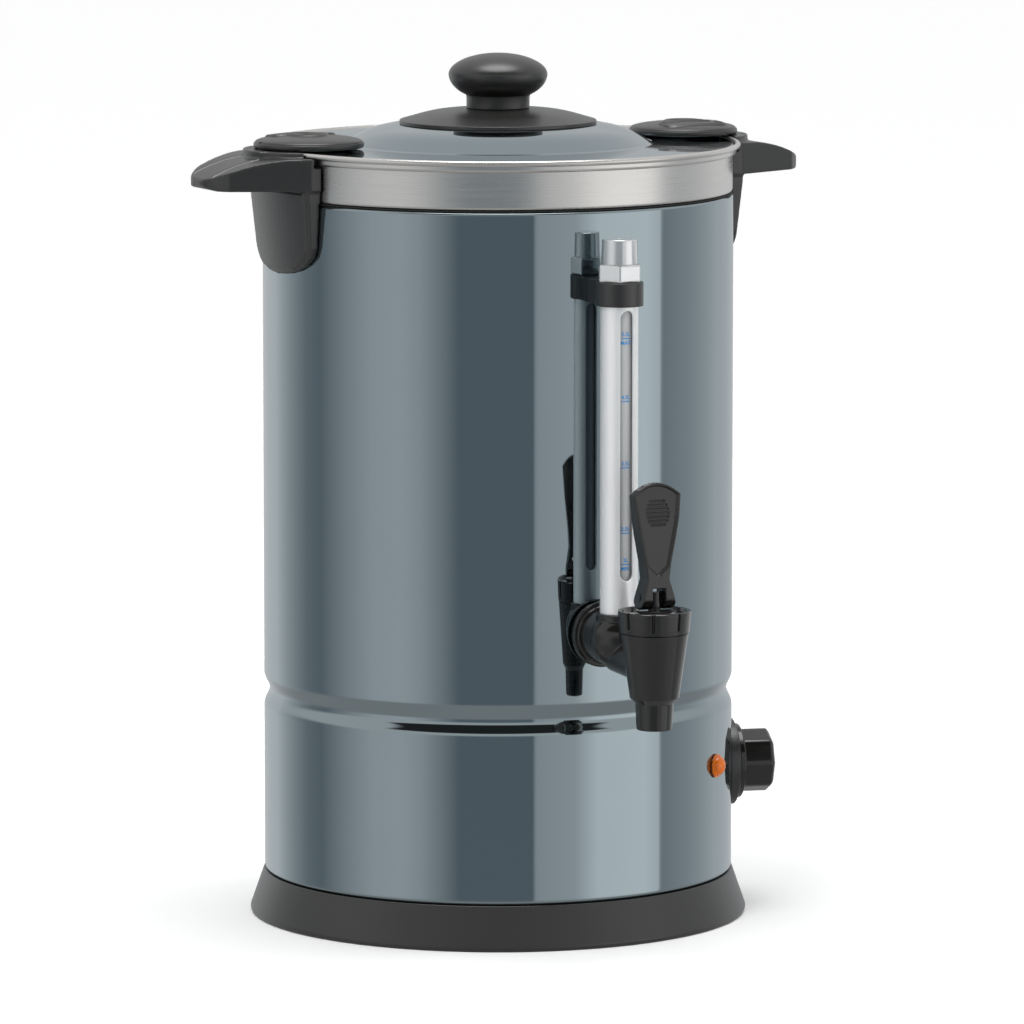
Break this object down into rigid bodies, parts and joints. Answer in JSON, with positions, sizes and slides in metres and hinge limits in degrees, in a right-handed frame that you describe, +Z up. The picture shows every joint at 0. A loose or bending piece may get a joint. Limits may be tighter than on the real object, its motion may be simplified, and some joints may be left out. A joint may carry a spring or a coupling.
{
  "type": "hot water urn",
  "caption": "Electric hot water urn with a painted jacket, a lockable knobbed lid, heat-proof handles, a sight gauge, a lever tap and a thermostat knob.",
  "frame": {"origin": "centre of the base ring's underside, on the surface the urn stands on", "axes": "+Z up along the pot's axis; the tap points along -Y; the two handles lie along +X and -X"},
  "size_m": [0.312, 0.3054, 0.4116],
  "materials": {
    "painted_steel": "gloss grey-blue enamel",
    "brushed_steel": "brushed stainless",
    "black_plastic": "fine matte moulded plastic",
    "gloss_black": "gloss moulded plastic",
    "rubber": "matte rubber",
    "silicone": "matte silicone",
    "zinc_steel": "bright zinc plate",
    "stainless": "turned stainless",
    "satin_aluminium": "satin anodised",
    "clear_tube": "clear",
    "amber_lens": "clear amber",
    "element_sheath": "heat-darkened sheath",
    "ivory_plastic": "moulded insulating plastic",
    "copper": "bare copper",
    "lead_insulation": "smooth insulation"
  },
  "bodies": {
    "urn": {"base_ring": "black_plastic", "rubber_feet": "rubber", "bottom_cover": "zinc_steel", "cover_screws": "zinc_steel", "tie_rod": "zinc_steel", "tie_nut": "zinc_steel", "jacket": "painted_steel", "inner_pot": "brushed_steel", "rim_gasket": "rubber", "heater_plate": "satin_aluminium", "heating_element": "element_sheath", "thermal_cutout": "ivory_plastic", "thermostat_body": "ivory_plastic", "thermostat_screws": "zinc_steel", "control_bezel": "black_plastic", "sensor_capillary": "copper", "lamp_lens": "amber_lens", "lamp_holder": "ivory_plastic", "terminal_block": "ivory_plastic", "wiring": "lead_insulation", "cord_inlet": "rubber", "tap_shank": "stainless", "tank_nut": "stainless", "shank_gaskets": "rubber", "shank_spacer": "stainless", "tap_elbow": "gloss_black", "gauge_sleeve": "satin_aluminium", "gauge_tube": "clear_tube", "gauge_seals": "rubber", "gauge_bracket": "black_plastic", "bracket_screw": "zinc_steel", "gauge_nut": "satin_aluminium", "gauge_cap": "satin_aluminium", "tap_body": "gloss_black", "tap_bonnet": "gloss_black", "tap_spring": "stainless", "left_handle": "black_plastic", "right_handle": "black_plastic", "handle_screws": "zinc_steel"},
    "lid": {"lid_shell": "painted_steel", "lid_disc": "black_plastic", "lid_knob": "black_plastic", "lid_screw": "zinc_steel"},
    "left_lock": {"left_lock": "black_plastic", "left_lock_screw": "zinc_steel"},
    "right_lock": {"right_lock": "black_plastic", "right_lock_screw": "zinc_steel"},
    "tap_valve": {"tap_stem": "gloss_black", "seat_cup": "silicone"},
    "tap_lever": {"tap_lever": "gloss_black", "lever_pin": "gloss_black"},
    "control_knob": {"control_knob": "gloss_black", "thermostat_shaft": "zinc_steel"}
  },
  "joints": [
    {"name": "lid_lift", "type": "slide", "parent": "urn", "child": "lid", "axis": [0, 0, 1], "range_m": [0, 0.15]},
    {"name": "left_lock_swivel", "type": "hinge", "parent": "urn", "child": "left_lock", "pos_m": [-0.1208, 0, 0.3701], "axis": [0, 0, 1], "range_deg": [0, 180]},
    {"name": "right_lock_swivel", "type": "hinge", "parent": "urn", "child": "right_lock", "pos_m": [0.1208, 0, 0.3701], "axis": [0, 0, 1], "range_deg": [0, 180]},
    {"name": "valve_lift", "type": "slide", "parent": "urn", "child": "tap_valve", "axis": [0, 0, 1], "range_m": [0, 0.004], "deforming": ["tap_spring"]},
    {"name": "lever_tilt", "type": "hinge", "parent": "tap_valve", "child": "tap_lever", "pos_m": [0, -0.1695, 0.1723], "axis": [1, 0, 0], "range_deg": [0, 40], "stiffness_Nm_per_rad": 0.05},
    {"name": "knob_turn", "type": "hinge", "parent": "urn", "child": "control_knob", "pos_m": [0.11692, -0.02699, 0.0676], "axis": [-0.9744, 0.225, 0], "range_deg": [0, 270]}
  ],
  "couplings": [
    {"joint": "valve_lift", "follows": "lever_tilt", "m_per_rad": 0.005729}
  ]
}
